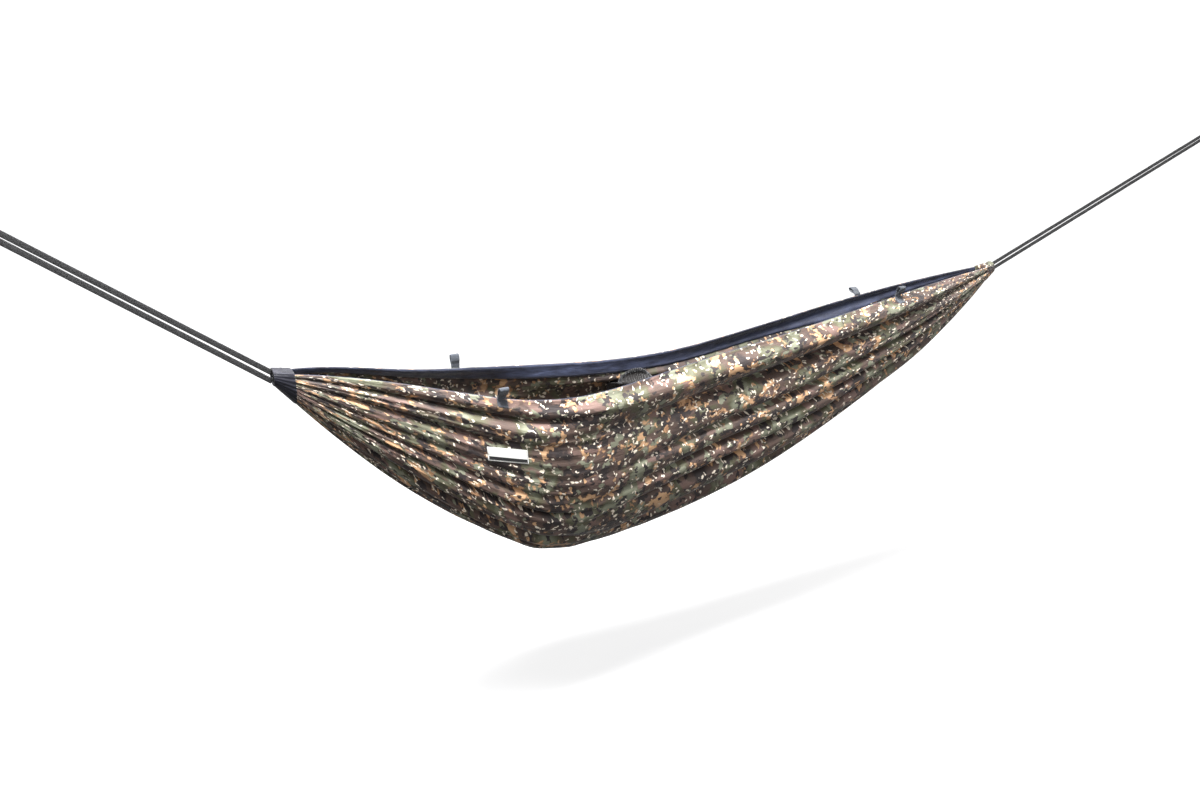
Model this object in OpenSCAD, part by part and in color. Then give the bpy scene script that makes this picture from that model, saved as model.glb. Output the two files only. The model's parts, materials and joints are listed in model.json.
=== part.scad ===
// Camping hammock with gathered ends, hung empty from two webbing straps.
// Millimetres. The origin is the centre of the left strap's eye, +X runs to the right strap's eye,
// +Y away from the side that carries the label, +Z up.

/* [Suspension] */
// Distance between the two gathered ends of the bed
chord = 2360; // [2300:10:2420]
// Level distance from the left eye to the left gathered end
left_run = 560; // [500:10:700]
// Level distance from the right gathered end to the right eye
right_run = 1200; // [1000:10:1400]
// Height of the eyes above the gathered ends
rise = 420; // [380:10:460]
// Width of the suspension webbing
strap_w = 13; // [12:0.5:14]
// Thickness of the suspension webbing
strap_t = 2; // [1.6:0.1:2.4]
// Distance between the two strands' centres at the gathered end
strand_gap = 17; // [16.5:0.1:17.5]
// Distance between the two strands' centres at the knot
knot_gap = 14.4; // [14:0.1:15]
// Inner radius of the eye
eye_r = 20; // [15:0.5:25]
// Length of the knot
knot_l = 34; // [30:1:40]

/* [Bed] */
// Depth of the bottom of the bed below the line between its ends
belly_depth = 600; // [560:2:640]
// Place of the deepest point, from -1 at the left end to 1 at the right end
belly_at = -0.38; // [-0.44:0.01:-0.3]
// Depth of the rims below the same line
rim_depth = 130; // [110:1:150]
// Height of the near rim above the far rim over the right half
rim_tilt = 34; // [0:1:38]
// Half width of the mouth over the right half
mouth_half = 100; // [90:1:110]
// Extra half width of the mouth over the belly
mouth_extra = 70; // [50:1:80]
// How far the sides stand out past the rims
bulge = 110; // [80:1:130]
// Thickness that stands for each fabric layer with its small folds
layer_t = 3; // [2.4:0.1:3]
// Gap between the two fabric layers
layer_gap = 0.8; // [0.6:0.1:1]

/* [Trim] */
// Width of the dark tape along the inside of each rim
tape_w = 36; // [24:1:36]
// Width of the tie-out loops' webbing
loop_w = 24; // [12:1:30]
// Length of a tie-out loop above its seam
loop_l = 32; // [28:1:36]
// Place of the tie-out loops, as a share of half the chord
loop_at = 0.574; // [0.54:0.002:0.6]
// Length of the label
label_l = 95; // [80:1:100]
// Height of the label
label_h = 31; // [26:1:34]
// Width of the inside pocket
pocket_w = 140; // [120:2:160]
// Depth of the pocket's mouth below the rim
pocket_top = 38; // [38:1:50]
// Depth of the inside pocket
pocket_h = 90; // [70:2:100]

/* [Hidden] */
$fn = 48;

// Suspension
half = chord / 2;
mid_x = left_run + half;
span = left_run + chord + right_run;
end_x = [left_run, left_run + chord];
anchor_x = [0, span];
run = [left_run, right_run];
strap_len = [for (r = run) sqrt(r * r + rise * rise)];
toward = [-1, 1];
slope = [for (r = run) atan(rise / r)];
eye_t = 3;
neck_reach = eye_r + eye_t + 13;
neck_gap = 1.5;
knot_r = 17;
knot_neck_r = 3;
mouth_gap = 0.6;
bight_gap = 0.4;
knot_start = [for (l = strap_len) l - neck_reach - neck_gap - knot_l];

// End channels
channel_l = 38;
channel_r = 21.6;
channel_flare = 23;
cavity_r = 18.6;
cavity_depth = 24;

// Bed
bed_end = (half - channel_l - 0.5) / half;
u_power = 0.85;
left_power = 1.5;
right_power = 2;
end_lift = 8;
end_sink = 14;
end_half = 10;
mouth_at = -0.5;
tilt_from = -0.45;
rim_low_at = -0.25;
stations = 30;
rows = 9;
layer_in = layer_gap / 2;

// Trim
tape_t = 2.2;
trim_gap = 0.9;
hem_gap = 3.4;
inner_face = layer_in + layer_t + trim_gap;
label_at = [-0.573, 127];
label_t = 1;
tack_t = 1;
pocket_at = -0.135;
pocket_bulge = 26;
pocket_t = 2;
elastic_h = 8;
loop_thick = 2.4;
loop_half = 6;
loop_neck = 9;
loop_seat = 4.8;
loop_lean = [["near", -1, 35], ["near", 1, 30], ["far", -1, -8], ["far", 1, -65]];

// Smooth step from 0 to 1
function ease(u) = let (c = min(1, max(0, u))) c * c * (3 - 2 * c);

// Depth of the keel and of the mean rim at station t
function keel(t) = belly_depth * (t < belly_at
    ? 1 - pow((belly_at - t) / (1 + belly_at), left_power)
    : 1 - pow((t - belly_at) / (1 - belly_at), right_power)) + end_sink * pow(abs(t), 6);
function rim(t) = rim_depth * (1 - ease(t < rim_low_at
    ? pow((rim_low_at - t) / (1 + rim_low_at), 1.3) : (t - rim_low_at) / (1 - rim_low_at))) - end_lift * pow(abs(t), 6);
function mouth(t) = end_half + (mouth_half - end_half) * pow(1 - pow(abs(t), 3), 0.8)
    + mouth_extra * exp(-pow((t - mouth_at) / (t < mouth_at ? 0.17 : 0.3), 2));
function tilt(t) = rim_tilt / 2 * ease((t - tilt_from) / 0.5) * (1 - pow(abs(t), 6));

// Point of the bed between its two layers: t along the chord, a from 0 at the near rim to 180 at the far rim
function bed(t, a) = let (s = max(0, sin(a))) [
    mid_x + half * t,
    -cos(a) * (mouth(t) + bulge * (1 - pow(t, 4)) * s),
    -rise - rim(t) + tilt(t) * cos(a) - (keel(t) - rim(t)) * pow(s, u_power)];

// The same point moved out of the bed by off, square to the section's outline
function bed_off(t, a, off) = let (
    d = bed(t, min(180, a + 1)) - bed(t, max(0, a - 1)),
    l = norm([d.y, d.z]))
    bed(t, a) + off * [0, d.z, -d.y] / l;

// Angle at which the wall has fallen by depth below its rim
function wall_angle(t, depth) = asin(min(0.95, pow(depth / (keel(t) - rim(t)), 1 / u_power)));

// Closed solid between two equal grids of points, the first one on the outside
module shell(outer, inner) {
    n = len(outer);
    m = len(outer[0]);
    all = concat([for (r = outer) each r], [for (r = inner) each r]);
    far = n * m;
    function at(i, j) = i * m + j;
    polyhedron(all, concat(
        [for (i = [0:n - 2], j = [0:m - 2]) each [
            [at(i, j), at(i, j + 1), at(i + 1, j)],
            [at(i, j + 1), at(i + 1, j + 1), at(i + 1, j)],
            [far + at(i, j), far + at(i + 1, j), far + at(i, j + 1)],
            [far + at(i, j + 1), far + at(i + 1, j), far + at(i + 1, j + 1)]]],
        [for (i = [0:n - 2]) each [
            [at(i, 0), at(i + 1, 0), far + at(i, 0)],
            [at(i + 1, 0), far + at(i + 1, 0), far + at(i, 0)],
            [at(i + 1, m - 1), at(i, m - 1), far + at(i, m - 1)],
            [at(i + 1, m - 1), far + at(i, m - 1), far + at(i + 1, m - 1)]]],
        [for (j = [0:m - 2]) each [
            [at(0, j + 1), at(0, j), far + at(0, j)],
            [at(0, j + 1), far + at(0, j), far + at(0, j + 1)],
            [at(n - 1, j), at(n - 1, j + 1), far + at(n - 1, j)],
            [at(n - 1, j + 1), far + at(n - 1, j + 1), far + at(n - 1, j)]]]), convexity = 4);
}

// A layer of the whole bed between two offsets
module bed_layer(out, in) {
    ts = [for (i = [0:stations]) bed_end * sin(90 * (2 * i / stations - 1))];
    as = [for (j = [0:2 * rows]) let (c = 90 * (1 - cos(90 * (j > rows ? 2 * rows - j : j) / rows)))
        j > rows ? 180 - c : c];
    shell([for (t = ts) [for (a = as) bed_off(t, a, out)]],
          [for (t = ts) [for (a = as) bed_off(t, a, in)]]);
}

// A patch on one wall; side is "near" or "far", ds are depths below the rim
module wall_patch(side, ts, ds, out, in) {
    far = side == "far";
    list = far ? [for (k = [len(ds) - 1:-1:0]) ds[k]] : ds;
    shell([for (t = ts) [for (d = list) let (a = wall_angle(t, d)) bed_off(t, far ? 180 - a : a, out)]],
          [for (t = ts) [for (d = list) let (a = wall_angle(t, d)) bed_off(t, far ? 180 - a : a, in)]]);
}

// Point in the plane of a strap: along it from the gathered end, and off to its upper side
function on_strap(k, along, off) = [
    end_x[k] + toward[k] * (along * cos(slope[k]) - off * sin(slope[k])),
    -rise + along * sin(slope[k]) + off * cos(slope[k])];

// Distance along a strap at which a line off its centre meets the mouth of the end channel
function mouth_along(k, off) = (mouth_gap + off * sin(slope[k])) / cos(slope[k]);

module flat_in_plane(t) {
    rotate([90, 0, 0]) linear_extrude(height = t, center = true) children();
}

module strand(k, side) {
    near = side * strand_gap / 2;
    far = side * knot_gap / 2;
    e = strap_w / 2;
    color("dimgray") flat_in_plane(strap_t) polygon([
        on_strap(k, mouth_along(k, near - e), near - e), on_strap(k, knot_start[k], far - e),
        on_strap(k, knot_start[k], far + e), on_strap(k, mouth_along(k, near + e), near + e)]);
}

// Half turn of webbing inside the end channel, joining the two strands
module bight(k) {
    outer = strand_gap / 2 + strap_w / 2 - bight_gap;
    inner = strand_gap / 2 - strap_w / 2;
    color("dimgray") translate([end_x[k], 0, -rise]) flat_in_plane(strap_t)
        difference() {
            intersection() {
                circle(r = outer);
                translate([k == 0 ? bight_gap : -outer - bight_gap, -outer]) square([outer, 2 * outer]);
            }
            circle(r = inner);
        }
}

module in_strap(k) {
    translate([end_x[k], 0, -rise]) rotate([0, k == 0 ? 180 + slope[k] : -slope[k], 0]) children();
}

module knot(k) {
    color("#2c2c2e") in_strap(k) translate([knot_start[k], 0, 0]) rotate([0, 90, 0]) rotate_extrude()
        polygon([[0, 0], [knot_r - 2, 0], [knot_r, 5], [knot_r, knot_l * 0.45], [knot_r * 0.8, knot_l * 0.7],
            [knot_neck_r + 2, knot_l * 0.9], [knot_neck_r, knot_l], [0, knot_l]]);
}

module eye(k) {
    tail = [eye_r + eye_t / 2, neck_reach - neck_gap];
    color("#323234") in_strap(k) translate([strap_len[k], 0, 0]) {
        rotate([90, 0, 0]) difference() {
            cylinder(r = eye_r + eye_t, h = strap_w, center = true);
            cylinder(r = eye_r, h = strap_w + 2, center = true);
        }
        translate([-tail[1], -strap_w / 2, -strap_t]) cube([tail[1] - tail[0], strap_w, 2 * strap_t]);
    }
}

module end_channel(k) {
    color("#20222c") translate([end_x[k], 0, -rise]) rotate([0, -toward[k] * 90, 0]) rotate_extrude()
        polygon([[cavity_r, 0], [channel_r, 0], [channel_flare, channel_l * 0.5], [channel_flare, channel_l],
            [0, channel_l], [0, cavity_depth], [cavity_r, cavity_depth]]);
}

module outer_layer() {
    color("#565638") bed_layer(layer_in + layer_t, layer_in);
}

module inner_layer() {
    color("#3e3f2c") bed_layer(-layer_in, -layer_in - layer_t);
}

module rim_tape(side) {
    ts = [for (i = [0:stations]) bed_end * sin(90 * (2 * i / stations - 1))];
    color("#1c2032") wall_patch(side, ts, [0.5, tape_w / 2, tape_w], -inner_face, -inner_face - tape_t);
}

// Webbing loop that stands on a rim, made about the X line of its seam and then leaned
module loop(row) {
    t = row[1] * loop_at;
    a = row[0] == "near" ? 0 : 180;
    color("#4a4a4e") translate(bed(t, a) + [0, 0, loop_seat]) rotate([row[2], 0, 0])
        rotate([90, 0, 90]) linear_extrude(height = loop_w, center = true) difference() {
            union() {
                circle(r = loop_thick / 2 + 0.4);
                translate([-loop_thick / 2 - 0.4, 0]) square([loop_thick + 0.8, loop_neck + 2]);
                translate([0, loop_neck + loop_half]) circle(r = loop_half);
                translate([0, loop_l - loop_half]) circle(r = loop_half);
                translate([-loop_half, loop_neck + loop_half]) square([2 * loop_half, loop_l - loop_neck - 2 * loop_half]);
            }
            translate([0, loop_neck + loop_half]) circle(r = loop_half - loop_thick);
            translate([0, loop_l - loop_half]) circle(r = loop_half - loop_thick);
            translate([-loop_half + loop_thick, loop_neck + loop_half])
                square([2 * (loop_half - loop_thick), loop_l - loop_neck - 2 * loop_half]);
        }
}

// Stitched ends of the loops' webbing, on the outside just below the rims
module loop_tacks() {
    step = loop_w / 2 / half;
    face = layer_in + layer_t + trim_gap;
    color("#3c3c40") for (side = ["near", "far"], s = [-1, 1])
        wall_patch(side, [for (i = [-1:1]) s * loop_at + i * step], [2, 12, 22], face + tack_t, face);
}

module pocket_panel() {
    n = 10;
    m = 6;
    ts = [for (i = [-n:n]) pocket_at + i / n * pocket_w / 2 / half];
    ds = [for (j = [m:-1:0]) pocket_top + j / m * pocket_h];
    function lift(i, j) = pocket_bulge * (1 - pow(i / n - 1, 2)) * (1 - pow(j / m, 2));
    color("#3a3b3d") shell(
        [for (i = [0:2 * n]) [for (j = [0:m])
            bed_off(ts[i], 180 - wall_angle(ts[i], ds[j]), -inner_face - lift(i, m - j))]],
        [for (i = [0:2 * n]) [for (j = [0:m])
            bed_off(ts[i], 180 - wall_angle(ts[i], ds[j]), -inner_face - pocket_t - lift(i, m - j))]]);
}

// Elastic hem along the pocket's mouth
module pocket_elastic() {
    n = 10;
    face = inner_face + pocket_t + hem_gap;
    ts = [for (i = [-n:n]) pocket_at + i / n * (pocket_w / 2 - 4) / half];
    ds = [pocket_top + elastic_h, pocket_top];
    function lift(i) = pocket_bulge * (1 - pow(i / n - 1, 2));
    color("#17181b") shell(
        [for (i = [0:2 * n]) [for (d = ds) bed_off(ts[i], 180 - wall_angle(ts[i], d), -face - lift(i))]],
        [for (i = [0:2 * n]) [for (d = ds) bed_off(ts[i], 180 - wall_angle(ts[i], d), -face - pocket_t - lift(i))]]);
}

module side_label() {
    face = layer_in + layer_t + trim_gap;
    ts = [for (i = [-3:3]) label_at[0] + i / 6 * label_l / half];
    color("#e8e6df") wall_patch("near", ts, [for (j = [0:3]) label_at[1] + j / 3 * label_h],
        face + label_t, face);
}

eye(0);  // left_anchor_eye
eye(1);  // right_anchor_eye
knot(0);  // left_knot
knot(1);  // right_knot
strand(0, 1);  // left_strand_upper
strand(0, -1);  // left_strand_lower
strand(1, 1);  // right_strand_upper
strand(1, -1);  // right_strand_lower
bight(0);  // left_bight
bight(1);  // right_bight
end_channel(0);  // left_end_channel
end_channel(1);  // right_end_channel
outer_layer();
inner_layer();
rim_tape("near");  // near_rim_tape
rim_tape("far");  // far_rim_tape
loop(loop_lean[0]);  // near_left_loop
loop(loop_lean[1]);  // near_right_loop
loop(loop_lean[2]);  // far_left_loop
loop(loop_lean[3]);  // far_right_loop
loop_tacks();
pocket_panel();
pocket_elastic();
side_label();
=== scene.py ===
# Camping hammock with gathered ends, hung empty from two webbing straps.
# Metres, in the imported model's own frame: origin at the left eye, +X to the right eye, +Z up.
import json
import math
import bmesh
import bpy
import numpy as np
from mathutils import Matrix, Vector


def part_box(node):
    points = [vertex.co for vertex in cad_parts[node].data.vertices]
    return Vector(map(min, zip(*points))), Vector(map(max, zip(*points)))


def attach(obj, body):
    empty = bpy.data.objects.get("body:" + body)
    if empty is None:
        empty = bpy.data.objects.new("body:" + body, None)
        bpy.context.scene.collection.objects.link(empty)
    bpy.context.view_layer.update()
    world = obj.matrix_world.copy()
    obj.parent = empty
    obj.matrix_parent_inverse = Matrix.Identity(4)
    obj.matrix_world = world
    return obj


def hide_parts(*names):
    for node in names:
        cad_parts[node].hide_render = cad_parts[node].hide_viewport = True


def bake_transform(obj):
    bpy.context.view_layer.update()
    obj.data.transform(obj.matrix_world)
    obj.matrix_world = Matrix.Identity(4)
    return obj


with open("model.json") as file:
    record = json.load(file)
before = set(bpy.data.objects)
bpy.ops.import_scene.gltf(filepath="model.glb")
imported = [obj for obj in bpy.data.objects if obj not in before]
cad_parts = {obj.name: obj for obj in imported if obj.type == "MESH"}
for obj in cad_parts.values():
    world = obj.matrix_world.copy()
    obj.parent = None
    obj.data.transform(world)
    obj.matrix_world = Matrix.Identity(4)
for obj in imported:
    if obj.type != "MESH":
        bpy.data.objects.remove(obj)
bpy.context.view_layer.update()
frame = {"nodes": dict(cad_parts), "record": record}
mounts = {m["name"]: np.array(m["pos_m"]) for m in frame["record"]["mounts"]}
print("frame loaded:", len(frame["nodes"]), "CAD nodes")

# places taken from the frame
def cornersOf(node):
    low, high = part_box(node)
    return np.array(low), np.array(high)

def gatheredEnd(node, side):    # the mouth of an end channel, on the line between the bed's two ends
    low, high = cornersOf(node)
    return np.array([low[0] if side < 0 else high[0], 0.0, (low[2] + high[2]) / 2])

leftEnd = gatheredEnd("left_end_channel", -1)
rightEnd = gatheredEnd("right_end_channel", 1)
middle = (leftEnd + rightEnd) / 2
half = (rightEnd[0] - leftEnd[0]) / 2

# camera
cameraSetup = {
    "offset": (-1.6707, -2.3398, 0.738),    # from the middle of the line between the bed's ends
    "pitch": 19.25,                          # degrees below level
    "yaw": 30.0,                             # degrees to the right of +Y
    "lens": 31.54,
    "sensor": 36.0,
    "seesTo": 60.0,
}

def makeCamera(setup):
    data = bpy.data.cameras.new("camera")
    data.lens = setup["lens"]
    data.sensor_width = setup["sensor"]
    data.clip_end = setup["seesTo"]
    camera = bpy.data.objects.new("camera", data)
    camera.location = middle + np.array(setup["offset"])
    camera.rotation_euler = (math.radians(90 - setup["pitch"]), 0, -math.radians(setup["yaw"]))
    bpy.context.scene.collection.objects.link(camera)
    bpy.context.scene.camera = camera

makeCamera(cameraSetup)
print("camera set")

# small numpy tools
def ease(u):    # smooth step from 0 to 1: 3u^2 - 2u^3
    c = np.clip(u, 0.0, 1.0)
    return c * c * (3 - 2 * c)

def unit(v):    # each vector divided by its length
    return v / np.maximum(np.linalg.norm(v, axis=-1, keepdims=True), 1e-12)

def softNoise(x, y, seed):    # random heights at whole numbers, joined by smooth steps; from -1 to 1
    table = np.random.default_rng(seed).uniform(-1, 1, (64, 64))
    i = np.floor(x).astype(int)
    j = np.floor(y).astype(int)
    a = ease(x - i)
    b = ease(y - j)
    low = table[i % 64, j % 64] * (1 - a) + table[(i + 1) % 64, j % 64] * a
    high = table[i % 64, (j + 1) % 64] * (1 - a) + table[(i + 1) % 64, (j + 1) % 64] * a
    return low * (1 - b) + high * b

def resample(points, count):    # the same line with its points evenly spaced
    gaps = np.linalg.norm(np.diff(points, axis=0), axis=1)
    walked = np.concatenate([[0], np.cumsum(gaps)])
    want = np.linspace(0, walked[-1], count)
    return np.stack([np.interp(want, walked, points[:, k]) for k in range(3)], axis=-1)

def smoothLine(points, rounds):    # Chaikin's corner cutting, with both ends kept
    for _ in range(rounds):
        near = 0.75 * points[:-1] + 0.25 * points[1:]
        far = 0.25 * points[:-1] + 0.75 * points[1:]
        inner = np.stack([near, far], axis=1).reshape(-1, 3)
        points = np.concatenate([points[:1], inner, points[-1:]])
    return points

def lengthOf(points):
    return float(np.linalg.norm(np.diff(points, axis=0), axis=1).sum())

def bell(x, at, width):    # e to the minus square of the distance from at, counted in widths
    return np.exp(-(((x - at) / width) ** 2))

def repeated(direction, count):    # one direction for every point of a line
    return np.tile(np.array(direction, float), (count, 1))

# meshes from grids
def makeObject(name, vertices, faces, uv, material):
    mesh = bpy.data.meshes.new(name)
    mesh.from_pydata(vertices.tolist(), [], faces)
    layer = mesh.uv_layers.new(name="cloth")
    owner = np.empty(len(mesh.loops), dtype=np.int32)
    mesh.loops.foreach_get("vertex_index", owner)
    layer.data.foreach_set("uv", uv[owner].astype(np.float32).ravel())
    mesh.polygons.foreach_set("use_smooth", np.full(len(mesh.polygons), True))
    mesh.materials.append(material)
    mesh.update()
    piece = bpy.data.objects.new(name, mesh)
    bpy.context.scene.collection.objects.link(piece)
    return piece

def gridNormals(points):    # cross product of the grid's two directions
    return unit(np.cross(np.gradient(points, axis=0), np.gradient(points, axis=1)))

def closedSheet(name, points, out, thickness, uv, material):
    # a thin closed cloth: the grid moved half its thickness out and in along given directions,
    # with its four edges walled
    n, m = points.shape[:2]
    shift = out * thickness / 2
    vertices = np.concatenate([(points + shift).reshape(-1, 3), (points - shift).reshape(-1, 3)])
    index = np.arange(n * m).reshape(n, m)
    back = index + n * m
    a, b, c, d = index[:-1, :-1], index[1:, :-1], index[1:, 1:], index[:-1, 1:]
    front = np.stack([a, b, c, d], -1).reshape(-1, 4)
    rear = np.stack([d, c, b, a], -1).reshape(-1, 4) + n * m
    walls = [
        np.stack([index[:-1, 0], back[:-1, 0], back[1:, 0], index[1:, 0]], -1),
        np.stack([index[1:, -1], back[1:, -1], back[:-1, -1], index[:-1, -1]], -1),
        np.stack([index[0, 1:], back[0, 1:], back[0, :-1], index[0, :-1]], -1),
        np.stack([index[-1, :-1], back[-1, :-1], back[-1, 1:], index[-1, 1:]], -1),
    ]
    faces = np.concatenate([front, rear] + walls).tolist()
    flat = uv.reshape(-1, 2)
    piece = makeObject(name, vertices, faces, np.concatenate([flat, flat]), material)
    facesOutward(piece)
    return piece

def roundedSection(width, thickness, count=16):    # a flat strap's outline: a squared-off ellipse
    angle = np.linspace(0, 2 * np.pi, count, endpoint=False)
    across = np.sign(np.cos(angle)) * np.abs(np.cos(angle)) ** 0.35 * width / 2
    through = np.sign(np.sin(angle)) * np.abs(np.sin(angle)) ** 0.6 * thickness / 2
    return across, through

def ringFaces(n, m, closed=False):    # quads between n rings of m points, and a cap at each end if it has ends
    index = np.arange(n * m).reshape(n, m)
    here, after = (index, np.roll(index, -1, axis=0)) if closed else (index[:-1], index[1:])
    faces = np.stack([here, np.roll(here, -1, 1), np.roll(after, -1, 1), after], -1).reshape(-1, 4).tolist()
    return faces if closed else faces + [index[0, ::-1].tolist(), index[-1].tolist()]

def sweptStrap(name, path, side, width, thickness, material, closed=False):
    # a flat strap carried along a path, whose ends may meet; side is the direction of its width at each point
    ahead = np.roll(path, -1, axis=0) - np.roll(path, 1, axis=0) if closed else np.gradient(path, axis=0)
    along = unit(ahead)
    side = unit(side - (side * along).sum(-1, keepdims=True) * along)
    up = np.cross(along, side)
    across, through = roundedSection(width, thickness)
    ring = (path[:, None] + side[:, None] * across[None, :, None] + up[:, None] * through[None, :, None])
    n, m = ring.shape[:2]
    walked = np.concatenate([[0], np.cumsum(np.linalg.norm(np.diff(path, axis=0), axis=1))])
    uv = np.stack([np.repeat(walked, m), np.tile(across, n)], -1)
    piece = makeObject(name, ring.reshape(-1, 3), ringFaces(n, m, closed), uv, material)
    facesOutward(piece)
    return piece

def facesOutward(piece):
    work = bmesh.new()
    work.from_mesh(piece.data)
    bmesh.ops.recalc_face_normals(work, faces=work.faces)
    work.to_mesh(piece.data)
    work.free()

def joined(name, parts):    # several pieces made one mesh
    bpy.ops.object.select_all(action="DESELECT")
    for part in parts:
        part.select_set(True)
    bpy.context.view_layer.objects.active = parts[0]
    bpy.ops.object.join()
    parts[0].name = name
    parts[0].data.name = name
    parts[0].select_set(False)
    return parts[0]

def stitches(name, path, out, length, gap, width, material):
    # a row of thread stitches: one short rounded bead for each, six sides and four rings, laid along a path
    count = max(1, int(lengthOf(path) / (length + gap)))
    line = resample(path, 2 * count + 1)
    along = unit(line[2::2] - line[:-1:2])
    normal = unit(resample(out, 2 * count + 1)[1::2])
    side = np.cross(along, normal)
    ringAt = np.array([-0.5, -0.3, 0.3, 0.5]) * length
    ringSize = np.array([0.35, 1.0, 1.0, 0.35]) * width / 2
    rings, sides = len(ringAt), 6
    angle = np.linspace(0, 2 * np.pi, sides, endpoint=False)
    shape = (along[:, None, None] * ringAt[None, :, None, None]
             + side[:, None, None] * (ringSize[:, None] * np.cos(angle))[None, :, :, None]
             + normal[:, None, None] * (ringSize[:, None] * np.sin(angle))[None, :, :, None])
    points = (line[1::2][:, None, None] + shape).reshape(-1, 3)
    bead = ringFaces(rings, sides)
    walls, caps = np.array(bead[:-2]), np.array(bead[-2:])
    faces = []
    for first in range(0, rings * sides * count, rings * sides):
        faces += (walls + first).tolist() + (caps + first).tolist()
    piece = makeObject(name, points, faces, points[:, [0, 2]], material)
    facesOutward(piece)
    return piece

# node tools
def feed(tree, socket, value):    # a plain value, or another node's output
    if isinstance(value, bpy.types.NodeSocket):
        tree.links.new(value, socket)
    else:
        socket.default_value = value

def addNode(tree, kind, inputs=(), **settings):    # a new node, with its inputs by name or number
    node = tree.nodes.new("ShaderNode" + kind)
    for key, value in settings.items():
        setattr(node, key, value)
    for key, value in dict(inputs).items():
        feed(tree, node.inputs[key], value)
    return node

def newMaterial(name, roughness=0.6, sheen=0.0, specular=0.4):
    material = bpy.data.materials.new(name)
    material.use_nodes = True
    shader = material.node_tree.nodes["Principled BSDF"]
    shader.inputs["Roughness"].default_value = roughness
    shader.inputs["Sheen Weight"].default_value = sheen
    shader.inputs["Sheen Roughness"].default_value = 0.4
    shader.inputs["Specular IOR Level"].default_value = specular
    return material, material.node_tree, shader

def clothUv(tree):
    return addNode(tree, "UVMap", uv_map="cloth").outputs["UV"]

def objectPlace(tree):
    return addNode(tree, "TexCoord").outputs["Object"]

def mapped(tree, place, scale=(1, 1, 1), turn=0.0, shift=(0, 0, 0)):
    inputs = {"Vector": place, "Scale": scale, "Rotation": (0, 0, math.radians(turn)), "Location": shift}
    return addNode(tree, "Mapping", inputs).outputs["Vector"]

def noiseAt(tree, place, scale, detail=2.0, roughness=0.5, distortion=0.0, output="Fac"):
    inputs = {"Vector": place, "Scale": scale, "Detail": detail, "Roughness": roughness,
              "Distortion": distortion}
    return addNode(tree, "TexNoise", inputs).outputs[output]

def pushedAbout(tree, place, scale, detail, roughness, reach):    # a place moved sideways by a coloured noise
    noise = noiseAt(tree, place, scale, detail, roughness, output="Color")
    inputs = {0: noise, 1: (reach, reach, 0.0), 2: place}
    return addNode(tree, "VectorMath", inputs, operation="MULTIPLY_ADD").outputs[0]

def flecksAt(tree, place, scale, size, pickFrom):    # a rounded dash in some cells of a scattered pattern
    cells = addNode(tree, "TexVoronoi", {"Vector": place, "Scale": scale})
    split = addNode(tree, "SeparateColor", {0: cells.outputs["Color"]})
    dash = stepped(tree, cells.outputs["Distance"], size + 0.03, size)
    return times(tree, dash, stepped(tree, split.outputs[0], pickFrom, pickFrom + 0.01))

def waveAt(tree, place, scale, direction="X", distortion=0.0):
    inputs = {"Vector": place, "Scale": scale, "Distortion": distortion}
    return addNode(tree, "TexWave", inputs, bands_direction=direction).outputs["Fac"]

def stepped(tree, value, low, high):    # 0 below low, 1 above high, straight between
    return addNode(tree, "MapRange", {"Value": value, "From Min": low, "From Max": high}).outputs["Result"]

def plus(tree, a, b):
    return addNode(tree, "Math", {0: a, 1: b}, operation="ADD").outputs[0]

def times(tree, a, b):
    return addNode(tree, "Math", {0: a, 1: b}, operation="MULTIPLY").outputs[0]

def blendColour(tree, share, a, b, kind="MIX"):
    return addNode(tree, "Mix", {0: share, 6: a, 7: b}, data_type="RGBA", blend_type=kind).outputs[2]

def ramp(tree, value, stops):
    node = addNode(tree, "ValToRGB", {"Fac": value})
    bands = node.color_ramp.elements
    while len(bands) < len(stops):
        bands.new(0.5)
    for band, (at, colour) in zip(bands, stops):
        band.position = at
        band.color = colour
    return node.outputs["Color"]

def bumped(tree, shader, height, distance, strength=1.0):
    node = addNode(tree, "Bump", {"Height": height, "Distance": distance, "Strength": strength})
    tree.links.new(node.outputs["Normal"], shader.inputs["Normal"])

def rgb(red, green, blue):    # screen colour from 0 to 255, made linear
    return tuple((c / 255 / 12.92 if c <= 10 else ((c / 255 + 0.055) / 1.055) ** 2.4)
                 for c in (red, green, blue)) + (1.0,)

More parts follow.
